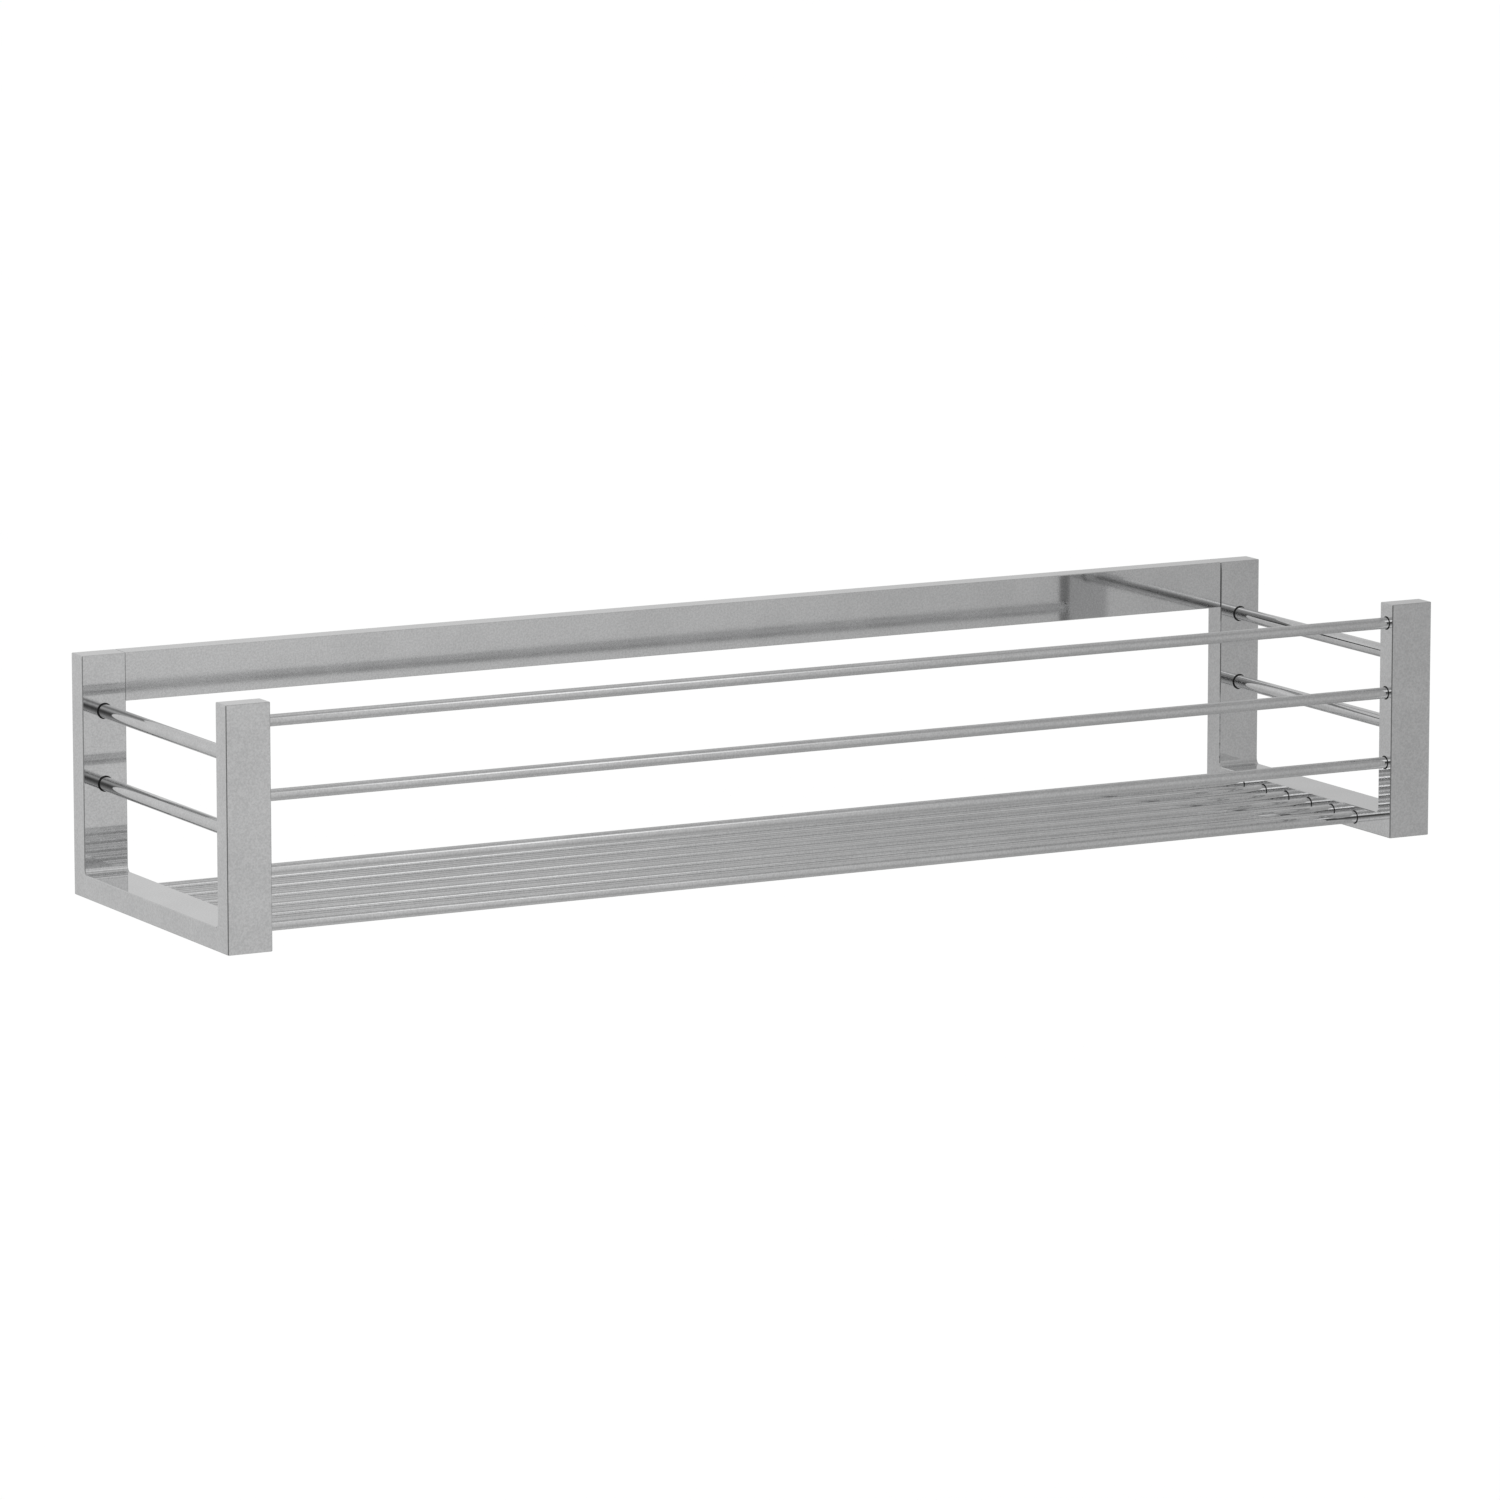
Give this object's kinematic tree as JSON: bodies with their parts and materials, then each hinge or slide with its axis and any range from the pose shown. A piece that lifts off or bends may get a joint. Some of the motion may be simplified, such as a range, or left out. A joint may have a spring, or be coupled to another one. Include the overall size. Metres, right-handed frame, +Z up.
{
  "type": "towel rack",
  "caption": "Wall-mounted chrome towel rack: U-shaped flat-bar ends, a back bar, front and side rods and a floor of rods make an open basket for folded towels.",
  "frame": {"origin": "centre of the back bar's wall face, midway along the rack", "axes": "+X along the wall to the right as seen from the room, +Y into the wall, +Z up; the rack stands out from the wall towards -Y"},
  "size_m": [0.58, 0.154, 0.1035],
  "materials": {
    "chrome_bar": "polished chrome plate on flat bar",
    "chrome_rod": "polished chrome plate on round rod",
    "seat_ring": "matt black nylon",
    "plated_steel": "bright zinc plate, lightly brushed"
  },
  "bodies": {
    "root": {"left_end_frame": "chrome_bar", "right_end_frame": "chrome_bar", "back_bar": "chrome_bar", "front_rod_top": "chrome_rod", "front_rod_middle": "chrome_rod", "front_rod_bottom": "chrome_rod", "floor_rod_1": "chrome_rod", "floor_rod_2": "chrome_rod", "floor_rod_3": "chrome_rod", "floor_rod_4": "chrome_rod", "floor_rod_5": "chrome_rod", "floor_rod_6": "chrome_rod", "left_side_rod_upper": "chrome_rod", "left_side_rod_lower": "chrome_rod", "right_side_rod_upper": "chrome_rod", "right_side_rod_lower": "chrome_rod", "left_front_rod_rings": "seat_ring", "right_front_rod_rings": "seat_ring", "left_floor_rod_rings": "seat_ring", "right_floor_rod_rings": "seat_ring", "left_side_rod_rings": "seat_ring", "right_side_rod_rings": "seat_ring", "left_joining_plate": "plated_steel", "right_joining_plate": "plated_steel", "joining_screws": "plated_steel", "left_wall_bracket": "plated_steel", "right_wall_bracket": "plated_steel", "left_grub_screw": "plated_steel", "right_grub_screw": "plated_steel"}
  },
  "joints": []
}
